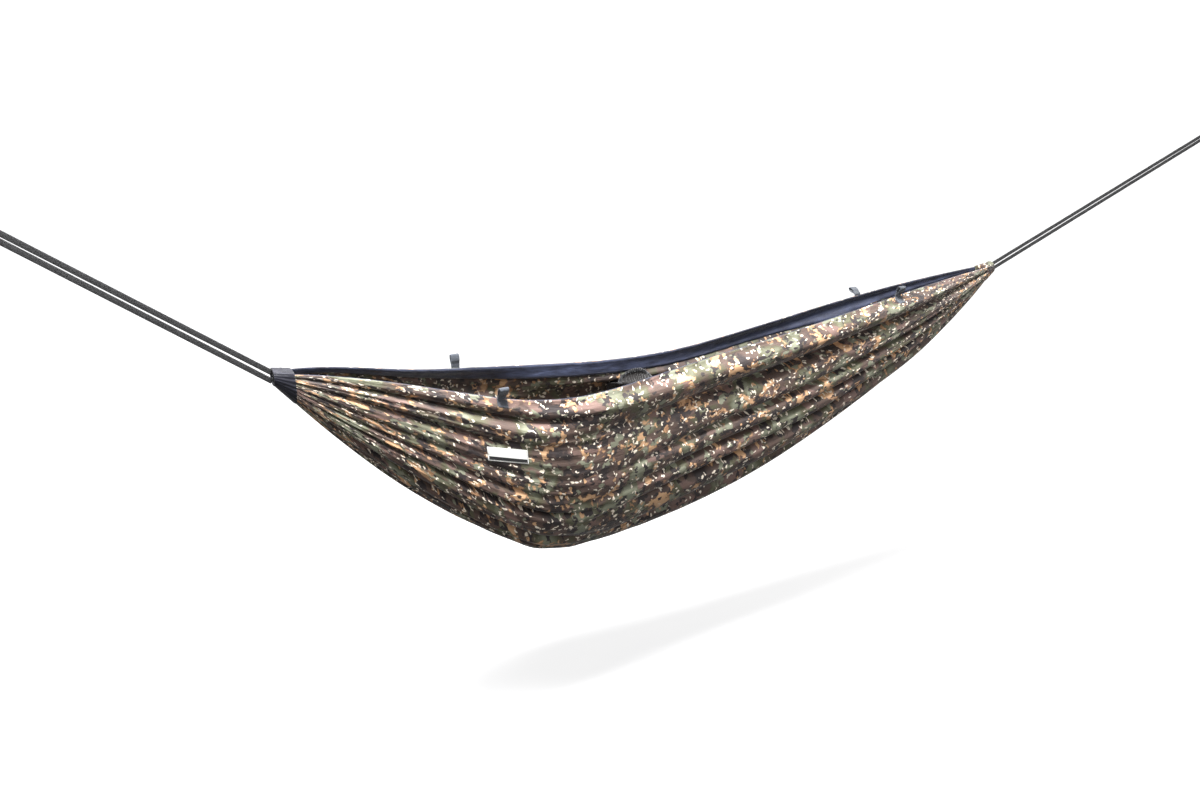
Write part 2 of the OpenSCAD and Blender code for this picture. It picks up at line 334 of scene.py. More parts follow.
# materials
camoPrint = {
    "colours": {
        "charcoal": rgb(50, 42, 42),
        "brown": rgb(92, 74, 66),
        "olive": rgb(88, 86, 64),
        "sage": rgb(134, 136, 116),
        "rust": rgb(120, 96, 88),
        "tan": rgb(208, 166, 126),
        "ochre": rgb(166, 126, 92),
        "cream": rgb(255, 242, 222),
    },
    "push": (62.0, 2.0, 0.6, 0.022),     # a noise's scale, detail and roughness, and how far it moves patches
    "twist": (88.0, 1.0, 0.5, 0.018),    # the same for the flecks
    "groundNoise": (8.5, 2.0, 0.55),
    "ground": [(0.36, "charcoal"), (0.44, "brown"), (0.50, "brown"), (0.56, "olive"), (0.66, "sage")],
    "patches": [    # shift; the noise's scale, detail, roughness and distortion; each colour with its threshold
        ((3.1, 1.7, 0), (11.0, 2.0, 0.5, 0.0), [("rust", 0.57, 0.60)]),
        ((7.3, 2.9, 0), (27.0, 2.0, 0.6, 0.0), [("charcoal", 0.56, 0.58)]),
        ((1.3, 8.9, 0), (19.0, 2.0, 0.6, 0.0), [("sage", 0.60, 0.62)]),
        ((5.7, 4.1, 0), (15.0, 3.0, 0.62, 0.6), [("ochre", 0.592, 0.599), ("tan", 0.614, 0.621)]),
    ],
    "flecks": [    # colour, stretch, turn, scale, size, and the share of cells that stay bare
        ("charcoal", (1.0, 1.6, 1), 15, 36.0, 0.27, 0.55),
        ("tan", (1.5, 1.0, 1), 60, 37.0, 0.24, 0.66),
        ("cream", (1.0, 2.1, 1), 40, 41.0, 0.23, 0.44),
        ("cream", (1.9, 1.0, 1), -25, 47.0, 0.22, 0.50),
    ],
    "wornShade": (0.82, 1.12),
    "wornRough": 0.16,
    "weave": 260.0,
    "weaveHeight": 0.035,
    "crumple": (26.0, 4.0, 0.62),
    "bump": (0.006, 0.55),
}

def camoCloth(name, brightness, roughness=0.5, sheen=0.25):
    # patches and blobs are each a noise past a threshold, on a cloth place that a finer noise pushes about,
    # so that their edges are ragged; small flecks are dashes scattered over them
    material, tree, shader = newMaterial(name, roughness=roughness, sheen=sheen, specular=0.45)
    uv = clothUv(tree)
    c, colours = camoPrint, camoPrint["colours"]
    ragged = pushedAbout(tree, uv, *c["push"])
    bands = [(at, colours[colour]) for at, colour in c["ground"]]
    ground = ramp(tree, noiseAt(tree, ragged, *c["groundNoise"]), bands)
    for shift, noise, thresholds in c["patches"]:
        field = noiseAt(tree, mapped(tree, ragged, shift=shift), *noise)
        for colour, low, high in thresholds:
            ground = blendColour(tree, stepped(tree, field, low, high), ground, colours[colour])
    twisted = pushedAbout(tree, uv, *c["twist"])
    for colour, stretch, turn, scale, size, bare in c["flecks"]:
        dash = flecksAt(tree, mapped(tree, twisted, stretch, turn), scale, size, bare)
        ground = blendColour(tree, dash, ground, colours[colour])
    worn = noiseAt(tree, mapped(tree, uv, (0.5, 3.0, 1)), 6.0, 3.0, 0.6)
    # brightness below 1 darkens the whole print as painted shade; the worn noise on top varies the tone at random
    dull, bright = ((brightness * share,) * 3 + (1,) for share in c["wornShade"])
    shade = ramp(tree, worn, [(0.3, dull), (0.7, bright)])
    feed(tree, shader.inputs["Base Color"], blendColour(tree, 1.0, ground, shade, "MULTIPLY"))
    rough = times(tree, stepped(tree, worn, 0.2, 0.8), c["wornRough"])
    feed(tree, shader.inputs["Roughness"], plus(tree, rough, roughness - c["wornRough"] / 2))
    weave = plus(tree, waveAt(tree, uv, c["weave"], "X"), waveAt(tree, uv, c["weave"], "Y"))
    crumple = noiseAt(tree, mapped(tree, uv, (1.0, 5.0, 1)), *c["crumple"])
    bumped(tree, shader, plus(tree, times(tree, weave, c["weaveHeight"]), crumple), *c["bump"])
    return material

def webbing(name, dark, light, ribs=420.0, slant=32.0, bump=0.0006):
    # twill webbing: slanted ribs one way, fine weft the other, a little worn along its length
    material, tree, shader = newMaterial(name, roughness=0.72, sheen=0.3, specular=0.3)
    uv = clothUv(tree)
    rib = waveAt(tree, mapped(tree, uv, turn=slant), ribs, "X", 0.4)
    weft = waveAt(tree, uv, ribs * 1.6, "Y")
    worn = noiseAt(tree, uv, 60.0, 3.0, 0.6)
    share = times(tree, plus(tree, rib, times(tree, worn, 0.9)), 0.55)
    feed(tree, shader.inputs["Base Color"], blendColour(tree, share, dark, light))
    bumped(tree, shader, plus(tree, rib, times(tree, weft, 0.35)), bump, 0.8)
    return material

def tapeCloth(name, dark, light):
    # plain-woven tape with a ribbed face, paler where it is rubbed
    material, tree, shader = newMaterial(name, roughness=0.55, sheen=0.4, specular=0.4)
    uv = clothUv(tree)
    rib = waveAt(tree, uv, 330.0, "X")
    rubbed = noiseAt(tree, mapped(tree, uv, (1.0, 4.0, 1)), 20.0, 4.0, 0.65)
    share = plus(tree, times(tree, stepped(tree, rubbed, 0.35, 0.75), 0.7), times(tree, rib, 0.2))
    feed(tree, shader.inputs["Base Color"], blendColour(tree, share, dark, light))
    bumped(tree, shader, plus(tree, times(tree, rib, 0.06), rubbed), 0.004, 0.6)
    return material

def pocketMesh(name, dark, light):
    # open knitted cloth: small holes on a slanted grid, shown as dark points in a paler net
    material, tree, shader = newMaterial(name, roughness=0.8, sheen=0.3, specular=0.25)
    uv = clothUv(tree)
    net = times(tree, *(waveAt(tree, mapped(tree, uv, turn=turn), 210.0, "X") for turn in (45, -45)))
    shade = noiseAt(tree, uv, 40.0, 2.0)
    share = plus(tree, times(tree, net, 0.8), times(tree, shade, 0.3))
    feed(tree, shader.inputs["Base Color"], blendColour(tree, share, dark, light))
    bumped(tree, shader, net, 0.0008, 0.7)
    return material

labelFace = {
    "half": (0.0475, 0.0175),         # half length and half height
    "top": -0.0060,                   # top of the stripe
    "topBlur": 0.0002,
    "sideEdge": (0.0024, 0.0028),     # where the stripe fades in from the sides and from the lower edge
    "lowEdge": (0.0026, 0.0030),
    "white": (rgb(226, 226, 222), rgb(246, 246, 243)),
    "black": rgb(26, 26, 28),
}

def wovenLabel(name, face):
    # satin label: white, with a black stripe set in along its lower edge
    material, tree, shader = newMaterial(name, roughness=0.4, sheen=0.2, specular=0.5)
    uv = clothUv(tree)
    split = addNode(tree, "SeparateXYZ", {0: uv})
    along = addNode(tree, "Math", {0: split.outputs["X"]}, operation="ABSOLUTE").outputs[0]
    inside = stepped(tree, along, *(face["half"][0] - edge for edge in face["sideEdge"]))
    low = stepped(tree, split.outputs["Y"], face["top"] + face["topBlur"], face["top"] - face["topBlur"])
    high = stepped(tree, split.outputs["Y"], *(edge - face["half"][1] for edge in face["lowEdge"]))
    ink = times(tree, inside, times(tree, low, high))
    thread = waveAt(tree, uv, 420.0, "Y")
    white = blendColour(tree, thread, *face["white"])
    feed(tree, shader.inputs["Base Color"], blendColour(tree, ink, white, face["black"]))
    bumped(tree, shader, thread, 0.0003, 0.6)
    return material

def threadFinish(name, colour):    # twisted thread: a slanted wave over its own colour
    material, tree, shader = newMaterial(name, roughness=0.55, sheen=0.2)
    twist = waveAt(tree, mapped(tree, objectPlace(tree), turn=40), 500.0, "X")
    feed(tree, shader.inputs["Base Color"], blendColour(tree, times(tree, twist, 0.5), colour, rgb(20, 20, 22)))
    return material

outerCloth = camoCloth("camo_outer", 1.0)
# the inner layer is the same print at 0.62 of its brightness: painted shade for the hammock's shaded inside
innerClothPaintedShade = camoCloth("camo_inner", 0.62, roughness=0.6, sheen=0.15)
channelDark = tapeCloth("channel_navy", rgb(13, 13, 22), rgb(40, 40, 56))
strapWebbing = webbing("strap_webbing", rgb(30, 30, 32), rgb(84, 84, 86))
loopWebbing = webbing("loop_webbing", rgb(52, 56, 64), rgb(104, 110, 120), ribs=360.0, slant=0.0)
rimTape = tapeCloth("rim_tape_navy", rgb(24, 28, 46), rgb(70, 78, 106))
pocketNet = pocketMesh("pocket_net", rgb(28, 27, 28), rgb(66, 63, 62))
elasticBand = webbing("pocket_elastic_band", rgb(14, 14, 16), rgb(48, 48, 52), ribs=300.0, slant=90.0)
labelSatin = wovenLabel("label_satin", labelFace)
darkThread = threadFinish("dark_thread", rgb(52, 52, 56))
paleThread = threadFinish("pale_thread", rgb(96, 94, 88))
print("materials made")

# straps: the cords
strapSetup = {
    "width": 0.013,
    "thickness": 0.002,
    "gapAtBed": 0.017,       # between the two strands' centre lines
    "gapAtKnot": 0.0144,
    "knotFromEye": 0.0715,   # from the eye's centre back to the start of the knot
    "mouthGap": 0.0006,
    "points": 24,
    "wander": 0.0002,
}

levelY = np.array([0.0, 1.0, 0.0])

class Strap:    # directions of one strap: along it to its eye, and up across it in its own plane
    def __init__(self, side, end, eye):
        self.name = "left" if side < 0 else "right"
        self.end = end
        self.eye = eye
        self.length = float(np.linalg.norm(eye - end))
        self.along = (eye - end) / self.length
        self.up = np.array([-self.along[2] * side, 0.0, self.along[0] * side])
        self.rise = self.along[2]
        self.level = abs(self.along[0])

    def at(self, along, off=0.0, out=0.0):    # along the strap, off to its upper side, out towards -Y
        along, off, out = (np.asarray(x, float)[..., None] for x in (along, off, out))
        return self.end + along * self.along + off * self.up + out * -levelY

straps = [Strap(-1, leftEnd, mounts["left_eye"]), Strap(1, rightEnd, mounts["right_eye"])]

def makeStrand(strap, place, s):
    near = place * s["gapAtBed"] / 2
    far = place * s["gapAtKnot"] / 2
    start = (s["mouthGap"] + near * strap.rise) / strap.level
    stop = strap.length - s["knotFromEye"]
    path = strap.at(np.linspace(start, stop, s["points"]), np.linspace(near, far, s["points"]))
    name = strap.name + ("_strand_upper" if place > 0 else "_strand_lower")
    fine = resample(path, 160)
    wander = softNoise(np.linspace(0, 40 * strap.length, len(fine)), np.zeros(len(fine)), 5 + int(place))
    fine = fine + (wander * s["wander"])[:, None] * levelY
    side = repeated(strap.up, len(fine))
    piece = sweptStrap(name + "_webbing", fine, side, s["width"], s["thickness"], strapWebbing)
    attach(piece, "suspension")
    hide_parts(name)
    return piece, path

for strap in straps:
    for place in (1, -1):
        makeStrand(strap, place, strapSetup)
print("strap strands made")

# knots, necks and eyes
knotSetup = {
    "radius": 0.0165,
    "length": 0.034,
    "fromHinge": 0.0015,
    "neckRadius": 0.003,
    "fold": 0.0035,             # room that the wraps take on the bulb
    # each turn's lean, its place, and how far it sinks in
    "wraps": [(0.5, 0.26, 0.0012), (-0.65, 0.45, 0.0008), (0.25, 0.62, 0.0028)],
    "wrapSize": (0.0105, 0.0018),
    "wrapLean": 0.0085,
    "eyeRadius": 0.0214,
    "eyeThickness": 0.0026,
    "eyeTrim": 0.0003,          # the eye is this much narrower than the strap
    "tail": (0.0212, 0.0345),   # from the eye's centre, as are the tacks, the neck and the hinge
    "tailOff": 0.00105,
    "tailThickness": 0.0019,
    "tacks": (0.0245, 0.0275, 0.0305),
    "tackOff": 0.0021,
    "tackHalf": 0.005,
    "neck": (0.0295, 0.0415),
    "neckSize": (0.0062, 0.0026),
    "hinge": 0.036,
    "hingeReach": 0.0035,
}

def knotStart(strap, s):
    return strap.length - s["hinge"] - s["fromHinge"] - s["length"]

def knotCore(strap, s):
    # a bulb whose radius follows a rounded profile, with shallow slanted folds round it
    u = np.linspace(0, 1, 40)[:, None]
    angle = np.linspace(0, 2 * np.pi, 49)[None, :-1]
    shrink = ease((u - 0.75) / 0.25)
    profile = (s["radius"] - s["fold"]) * np.sin(np.pi * np.clip(u * 0.86 + 0.1, 0, 1)) ** 0.55
    radius = (profile * (1 - shrink) + s["neckRadius"] * shrink) * (1 + 0.05 * np.sin(3 * angle + 6 * u))
    along = knotStart(strap, s) + u * s["length"] + 0 * angle
    place = strap.at(along, radius * np.cos(angle), radius * np.sin(angle))
    uv = np.stack([u * s["length"] + 0 * angle, angle * s["radius"] + 0 * u], -1).reshape(-1, 2)
    faces = ringFaces(*place.shape[:2])
    piece = makeObject(strap.name + "_knot_core", place.reshape(-1, 3), faces, uv, strapWebbing)
    facesOutward(piece)
    return piece

def knotWrap(strap, s, number):
    # a flat turn of webbing round the bulb, leaning over, its two sides at different places along the strap
    angle = np.linspace(0, 2 * np.pi, 73)[:-1]
    lean, at, sink = s["wraps"][number]
    radius = s["radius"] - sink
    along = knotStart(strap, s) + s["length"] * at + s["wrapLean"] * lean * np.cos(angle + number)
    path = strap.at(along, radius * np.cos(angle) * 0.96, radius * np.sin(angle) * 0.96)
    side = repeated(strap.along, len(path)) + 0.3 * lean * strap.up
    name = f"{strap.name}_knot_wrap_{number}"
    return sweptStrap(name, path, side, *s["wrapSize"], strapWebbing, closed=True)

def makeKnot(strap, s):
    parts = [knotCore(strap, s)] + [knotWrap(strap, s, k) for k in range(len(s["wraps"]))]
    knot = joined(strap.name + "_knot_webbing", parts)
    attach(knot, "suspension")
    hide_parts(strap.name + "_knot")
    return knot

def makeEye(strap, s):
    # a loop of webbing round the anchor, closed to a doubled tail that is bar-tacked
    angle = np.linspace(0, 2 * np.pi, 97)[:-1]
    loop = strap.at(strap.length - s["eyeRadius"] * np.cos(angle), s["eyeRadius"] * np.sin(angle))
    across = repeated(levelY, len(loop))
    width = strapSetup["width"] - s["eyeTrim"]
    name, thickness = strap.name + "_eye_loop", s["eyeThickness"]
    parts = [sweptStrap(name, loop, across, width, thickness, strapWebbing, closed=True)]
    for off in (-s["tailOff"], s["tailOff"]):
        line = strap.at(strap.length - np.linspace(s["tail"][1], s["tail"][0], 14), np.full(14, off))
        name = strap.name + "_eye_tail"
        parts.append(sweptStrap(name, line, repeated(levelY, 14), width, s["tailThickness"], strapWebbing))
    eye = joined(strap.name + "_eye_webbing", parts)
    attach(eye, "anchors")
    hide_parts(strap.name + "_anchor_eye")
    rows = []
    for place in s["tacks"]:
        for face in (-1, 1):
            ends = np.array([-s["tackHalf"], s["tackHalf"]])
            line = strap.at(np.full(2, strap.length - place), np.full(2, face * s["tackOff"]), ends)
            out = repeated(strap.up * face, 2)
            rows.append(stitches(f"{strap.name}_eye_row", line, out, 0.0011, 0.0003, 0.0006, paleThread))
    tacks = joined(strap.name + "_eye_stitches", rows)
    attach(tacks, "anchors")
    return eye, tacks

def makeNeck(strap, s):
    # the short flat throat between eye and knot
    reach = np.linspace(s["neck"][0], s["neck"][1], 12)
    line = strap.at(strap.length - reach, np.zeros(12))
    neck = sweptStrap(strap.name + "_neck_webbing", line, repeated(levelY, 12), *s["neckSize"], strapWebbing)
    start = strap.at(strap.length - s["hinge"] - s["hingeReach"])
    end = strap.at(strap.length - s["hinge"] + s["hingeReach"])
    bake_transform(neck)
    return neck

for strap in straps:
    knot = makeKnot(strap, knotSetup)
    eye, eyeTacks = makeEye(strap, knotSetup)
    neck = makeNeck(strap, knotSetup)
print("knots and eyes made")

# the bed's shape
bedShape = {
    # the keel is drawn a little above the CAD's lowest point, which leaves room for the folds
    "bellyDepth": leftEnd[2] - cornersOf("outer_layer")[0][2] - 0.0034,
    "bellyAt": -0.38,
    "leftPower": 1.55,
    "rightPower": 1.88,
    "rimDepth": 0.130,
    "rimPower": 1.3,
    "rimLowAt": -0.25,
    "rimTilt": 0.017,
    "tiltFrom": -0.45,
    "endSink": 0.014,
    "endLift": 0.008,
    "mouthEnd": 0.010,
    "mouthHalf": 0.100,
    "mouthExtra": 0.070,
    "mouthAt": -0.5,
    "mouthSpread": (0.17, 0.3),
    "bulge": 0.110,
    "sidePower": 0.85,
    "reach": 0.977,          # where the cloth stops inside the end channels
    "gather": (0.965, 0.977),  # where the section draws in, hidden by the end channels
    "gatherTo": 0.42,
    "clothWidth": 1.35,
}

def keelDepth(t, b):    # how far the bottom hangs below the line between the ends
    left = np.clip((b["bellyAt"] - t) / (1 + b["bellyAt"]), 0, None) ** b["leftPower"]
    right = np.clip((t - b["bellyAt"]) / (1 - b["bellyAt"]), 0, None) ** b["rightPower"]
    return b["bellyDepth"] * (1 - left - right) + b["endSink"] * np.abs(t) ** 6

def rimDepth(t, b):    # how far the rims hang below the same line
    left = np.clip((b["rimLowAt"] - t) / (1 + b["rimLowAt"]), 0, None) ** b["rimPower"]
    right = np.clip((t - b["rimLowAt"]) / (1 - b["rimLowAt"]), 0, None)
    return b["rimDepth"] * (1 - ease(left + right)) - b["endLift"] * np.abs(t) ** 6

def mouthHalf(t, b):    # half the distance between the rims
    spread = np.where(t < b["mouthAt"], *b["mouthSpread"])
    return (b["mouthEnd"] + (b["mouthHalf"] - b["mouthEnd"]) * np.clip(1 - np.abs(t) ** 3, 0, 1) ** 0.8
            + b["mouthExtra"] * bell(t, b["mouthAt"], spread))

def bedPoint(t, a, b):
    # x runs along the chord; across, the section is a U: y is minus cosine of a times the mouth plus a bulge,
    # z falls from the rim by the sine of a to a power; the whole section draws in at the channels
    s = np.clip(np.sin(a), 0, 1)
    keel = keelDepth(t, b)
    rim = rimDepth(t, b)
    tilt = b["rimTilt"] * ease((t - b["tiltFrom"]) / 0.5) * (1 - np.abs(t) ** 6)
    y = -np.cos(a) * (mouthHalf(t, b) + b["bulge"] * (1 - t ** 4) * s)
    z = -rim + tilt * np.cos(a) - (keel - rim) * s ** b["sidePower"]
    low, high = b["gather"]
    drawn = 1 - (1 - b["gatherTo"]) * ease((np.abs(t) - low) / (high - low))
    return np.stack(np.broadcast_arrays(middle[0] + half * t, y * drawn, middle[2] + z * drawn), -1)

def measureBed(b, rows=360, steps=720):
    # arc length round each section, from the near rim to the far one
    t = np.linspace(-b["reach"], b["reach"], rows)
    a = np.linspace(0, np.pi, steps)
    points = bedPoint(t[:, None], a[None, :], b)
    walked = np.zeros((rows, steps))
    walked[:, 1:] = np.cumsum(np.linalg.norm(np.diff(points, axis=1), axis=-1), axis=1)
    share = np.linspace(0, 1, steps)
    angles = np.stack([np.interp(share, line / line[-1], a) for line in walked])
    return {"t": t, "angles": angles, "girth": walked[:, -1], "steps": steps}

bedTable = measureBed(bedShape)

def angleAt(t, v):    # the section's angle at share v of its arc, read from the table between its lines
    t, v = np.broadcast_arrays(t, v)
    rows = len(bedTable["t"])
    i = (t + bedShape["reach"]) / (2 * bedShape["reach"]) * (rows - 1)
    j = np.clip(v, 0, 1) * (bedTable["steps"] - 1)
    i0 = np.clip(np.floor(i).astype(int), 0, rows - 2)
    j0 = np.clip(np.floor(j).astype(int), 0, bedTable["steps"] - 2)
    p = i - i0
    q = j - j0
    table = bedTable["angles"]
    return ((table[i0, j0] * (1 - q) + table[i0, j0 + 1] * q) * (1 - p)
            + (table[i0 + 1, j0] * (1 - q) + table[i0 + 1, j0 + 1] * q) * p)

def girthAt(t):
    return np.interp(t, bedTable["t"], bedTable["girth"])

# folds in the cloth
labelSetup = {"at": -0.573, "depth": 0.125, "size": (0.095, 0.035), "thickness": 0.0008, "gap": 0.0012}
clothGrid = {"columns": 236, "rows": 200}
foldSetup = {
    "left": {"count": 16, "seed": 11, "depth": 0.80, "power": 4.2, "fadeFrom": -0.70, "fadeTo": -0.39},
    "right": {"count": 13, "seed": 23, "depth": 0.80, "power": 3.8, "fadeFrom": 0.16, "fadeTo": -0.44},
    "strong": (0.7, 1.15),      # from fold to fold: height, place where it fades, and lean
    "shift": (-0.10, 0.12),
    "lean": (-0.25, 0.25),
    "keel": {"share": 0.45, "width": 0.12},    # folds are lower along the bottom
    "ripples": [{"side": -1, "count": 43, "seed": 41}, {"side": 1, "count": 37, "seed": 43}],
    "ripple": {"height": 0.16, "wander": 0.35, "from": 0.22, "over": 0.5},
    "waves": [    # counts along and across, where the noise starts, seed and height; the last lies at puckerAt
        ((4.5, 6), (9, 2), 51, 0.0055),
        ((6, 34), (15, 5), 53, 0.0016),
        ((26, 22), (40, 11), 57, 0.0011),
    ],
    "puckerAt": (-0.36, 0.3),
    "waveGirth": 0.9,
    "roll": {"at": 0.044, "width": 0.030, "near": 0.017, "far": -0.007},
    "ridge": {"at": -0.49, "width": 0.035, "height": 0.006, "rimFade": 0.08},
    "labelFlat": {"halfLength": 0.062, "halfHeight": 0.030, "share": 0.85},
    "hem": {"share": 0.12, "width": 0.032, "girthShare": 0.12},
}

def creases(count, seed):
    # uneven places from 0 to 1, each moved to a row of the cloth's grid so that the crease stays sharp
    gaps = np.random.default_rng(seed).uniform(0.55, 1.45, count)
    places = np.concatenate([[0], np.cumsum(gaps) / gaps.sum()])
    return np.round(places * clothGrid["rows"]) / clothGrid["rows"]

def fan(t, v, f):
    # folds that run out from one gathered end: each is a rounded crest between two sharp creases, its height a
    # share of its width, and it sinks away at its own place along the bed
    rng = np.random.default_rng(f["seed"] + 1)
    edges = creases(f["count"], f["seed"])
    count = f["count"]
    strong, shift, lean = (rng.uniform(*foldSetup[key], count) for key in ("strong", "shift", "lean"))
    k = np.clip(np.searchsorted(edges, v, side="right") - 1, 0, count - 1)
    width = edges[k + 1] - edges[k]
    x = np.clip((v - edges[k]) / width, 0, 1) * 2 - 1
    x = x + lean[k] * (1 - x * x)
    crest = 1 / (f["power"] + 1) - np.abs(x) ** f["power"]
    fade = ease((t - f["fadeTo"] - shift[k]) / (f["fadeFrom"] - f["fadeTo"]))
    keel = foldSetup["keel"]
    middleOut = 1 - keel["share"] * bell(v, 0.5, keel["width"])
    return crest * width * girthAt(t) * f["depth"] * strong[k] * fade * middleOut

def patchy(t, v, counts, start, seed):    # soft noise with so many patches along and across
    return softNoise(t * counts[0] + start[0], v * counts[1] + start[1], seed)

def fineFan(t, v, r):
    # smaller soft ripples between the folds, which wander a little and die away before the folds do
    f = foldSetup["ripple"]
    wave = np.sin(2 * np.pi * (v * r["count"] + f["wander"] * patchy(t, v, (7, 9), (20, 3), r["seed"])))
    uneven = 0.5 + 0.5 * patchy(t, v, (5, 14), (31, 7), r["seed"] + 1)
    strength = ease((r["side"] * t - f["from"]) / f["over"]) * uneven
    return wave * strength * girthAt(t) / r["count"] * f["height"]

def clothLift(t, v):
    # how far the folded cloth stands out of the smooth bed, in metres
    t, v = np.broadcast_arrays(t, v)
    girth = girthAt(t)
    fromRim = np.minimum(v, 1 - v) * girth
    lift = fan(t, v, foldSetup["left"]) + fan(t, v, foldSetup["right"])
    for ripples in foldSetup["ripples"]:
        lift = lift + fineFan(t, v, ripples)
    slow, along, pucker = (patchy(t, v, *wave[:3]) * wave[3] for wave in foldSetup["waves"])
    pucker = pucker * bell(t, *foldSetup["puckerAt"])
    lift = lift + (slow + along + pucker) * np.clip(girth / foldSetup["waveGirth"], 0, 1)
    roll, ridge, flat, hem = (foldSetup[key] for key in ("roll", "ridge", "labelFlat", "hem"))
    height = np.where(v < 0.5, roll["near"], roll["far"])
    lift = lift + (height * bell(fromRim, roll["at"], roll["width"])
                   * ease((t + 0.62) / 0.3) * ease((0.93 - t) / 0.35))
    lift = lift + ridge["height"] * bell(t, ridge["at"], ridge["width"]) * ease(fromRim / ridge["rimFade"])
    far = (((t - labelSetup["at"]) * half / flat["halfLength"]) ** 4
           + ((v * girth - labelSetup["depth"] - labelSetup["size"][1] / 2) / flat["halfHeight"]) ** 4)
    lift = lift * (1 - flat["share"] * np.exp(-far))    # the stitched label holds the cloth flat
    edge = ease(fromRim / np.minimum(hem["width"], girth * hem["girthShare"]))
    return lift * (hem["share"] + (1 - hem["share"]) * edge)    # and so does the hem

def sectionOut(t, a):    # the section's outward direction, square to its outline
    step = 0.012
    d = bedPoint(t, np.clip(a + step, 0, np.pi), bedShape) - bedPoint(t, np.clip(a - step, 0, np.pi), bedShape)
    out = np.stack([np.zeros_like(d[..., 0]), d[..., 2], -d[..., 1]], -1)
    return unit(out)

def clothPoint(t, v, off):    # a point of the cloth, off metres out of it; v is 0 at the near rim and 1 at the far
    t, v = np.broadcast_arrays(np.asarray(t, float), np.asarray(v, float))
    a = angleAt(t, v)
    out = sectionOut(t, a)
    return bedPoint(t, a, bedShape) + out * (clothLift(t, v) + off)[..., None], out

def alongCloth(points):    # distance along each line of the grid, from its own middle
    walked = np.zeros(points.shape[:2])
    walked[1:] = np.cumsum(np.linalg.norm(np.diff(points, axis=0), axis=-1), axis=0)
    return walked - walked[len(points) // 2]

def clothStations(count, reach):    # closer together towards the two gathered ends
    u = np.linspace(-1, 1, count)
    return reach * (0.62 * u + 0.38 * np.sin(u * np.pi / 2))

layerSetup = {"thickness": 0.0007, "outerOff": 0.0009, "innerOff": -0.0009}
clothT = clothStations(clothGrid["columns"], bedShape["reach"])[:, None]
clothV = np.linspace(0, 1, clothGrid["rows"] + 1)[None, :]

def makeLayer(node, off, material):
    points, out = clothPoint(clothT, clothV, off)
    smooth = bedPoint(clothT, angleAt(clothT, clothV), bedShape)
    across = (clothV - 0.5) * bedShape["clothWidth"] + 0 * clothT
    uv = np.stack([alongCloth(smooth), across], -1)
    piece = closedSheet(node + "_cloth", points, out, layerSetup["thickness"], uv, material)
    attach(piece, "bed")
    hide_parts(node)
    return piece, points

outerPiece, outerPoints = makeLayer("outer_layer", layerSetup["outerOff"], outerCloth)
innerPiece = makeLayer("inner_layer", layerSetup["innerOff"], innerClothPaintedShade)[0]
print("cloth layers made: keel", round(lengthOf(outerPoints[:, clothGrid["rows"] // 2]), 3),
      "rim", round(lengthOf(outerPoints[:, 0]), 3))

# rim tapes
tapeSetup = {
    "width": 0.038,
    "start": 0.0006,
    "over": 0.0016,        # how far it stands over the hem
    "thickness": 0.0011,
    "gap": 0.0024,         # between it and the inner layer
    "pucker": 0.0007,
    "hollow": 0.0006,
    "rows": 9,
    "columns": 320,
    "endShare": 0.36,      # drawn narrower by the gathering near the two ends
    "grow": 0.42,
}

def onWall(side, t, depth):    # share round the section at a depth down the wall from one rim
    v = depth / girthAt(t)
    return v if side == "near" else 1 - v

def makeTape(side, s):
    t = clothStations(s["columns"], bedShape["reach"] - 0.012)[:, None]
    room = s["endShare"] + (1 - s["endShare"]) * ease(np.minimum(t + 0.93, 1.02 - t) / s["grow"])
    depth = s["start"] + np.linspace(0, 1, s["rows"])[None, :] * (s["width"] - s["start"]) * room
    pucker = s["pucker"] * (1 + softNoise(t * 60 + 70, depth * 60 + 3, 61)) * ease(depth / 0.006)
    hollow = s["hollow"] * np.sin(np.pi * depth / (s["width"] * room))
    points, out = clothPoint(t, onWall(side, t, depth), 0.0)
    off = layerSetup["innerOff"] - layerSetup["thickness"] / 2 - s["gap"]
    points = points + out * (off - pucker - hollow)[..., None]
    points = points + np.array([0, 0, s["over"]]) * ease(1 - depth / 0.004)[..., None]
    uv = np.stack([alongCloth(points), depth + 0 * t], -1)
    tape = closedSheet(side + "_rim_tape_cloth", points, out, s["thickness"], uv, rimTape)
    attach(tape, "bed")
    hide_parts(side + "_rim_tape")
    rows = []
    for place in (1, s["rows"] - 2):
        inward = -out[6:-6, place]
        line = points[6:-6, place] + inward * (s["thickness"] / 2 + 0.0001)
        rows.append(stitches(f"{side}_tape_row", line, inward, 0.0034, 0.0012, 0.0007, darkThread))
    seam = joined(side + "_rim_stitches", rows)
    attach(seam, "bed")
    return tape, seam

nearTape, nearSeam = makeTape("near", tapeSetup)
farTape, farSeam = makeTape("far", tapeSetup)
print("rim tapes made")

# end channels
channelSetup = {
    "cavityRadius": 0.0190,
    "cavityDepth": 0.026,
    "wall": 0.0024,
    "length": 0.046,
    "clear": 0.0030,    # how far the sleeve stands off the gathered cloth
    "topShare": 0.22,   # share of its outline that lies over the top, between the rims
    "topRise": 0.005,
    "pleats": 22,
    "pleatDepth": 0.0016,
}

def gatheredRing(t, p, s):
    # round the cloth's section from the near rim to the far one, then back over a low arch between the rims
    cloth = 1 - s["topShare"]
    a = angleAt(t, np.clip(p / cloth, 0, 1))
    near, far = (bedPoint(t, np.full(np.shape(a), end), bedShape) for end in (0.0, np.pi))
    q = np.clip((p - cloth) / s["topShare"], 0, 1)[..., None]
    arch = far * (1 - q) + near * q + np.array([0, 0, s["topRise"]]) * np.sin(np.pi * q)
    return np.where((p <= cloth)[..., None], bedPoint(t, a, bedShape), arch)

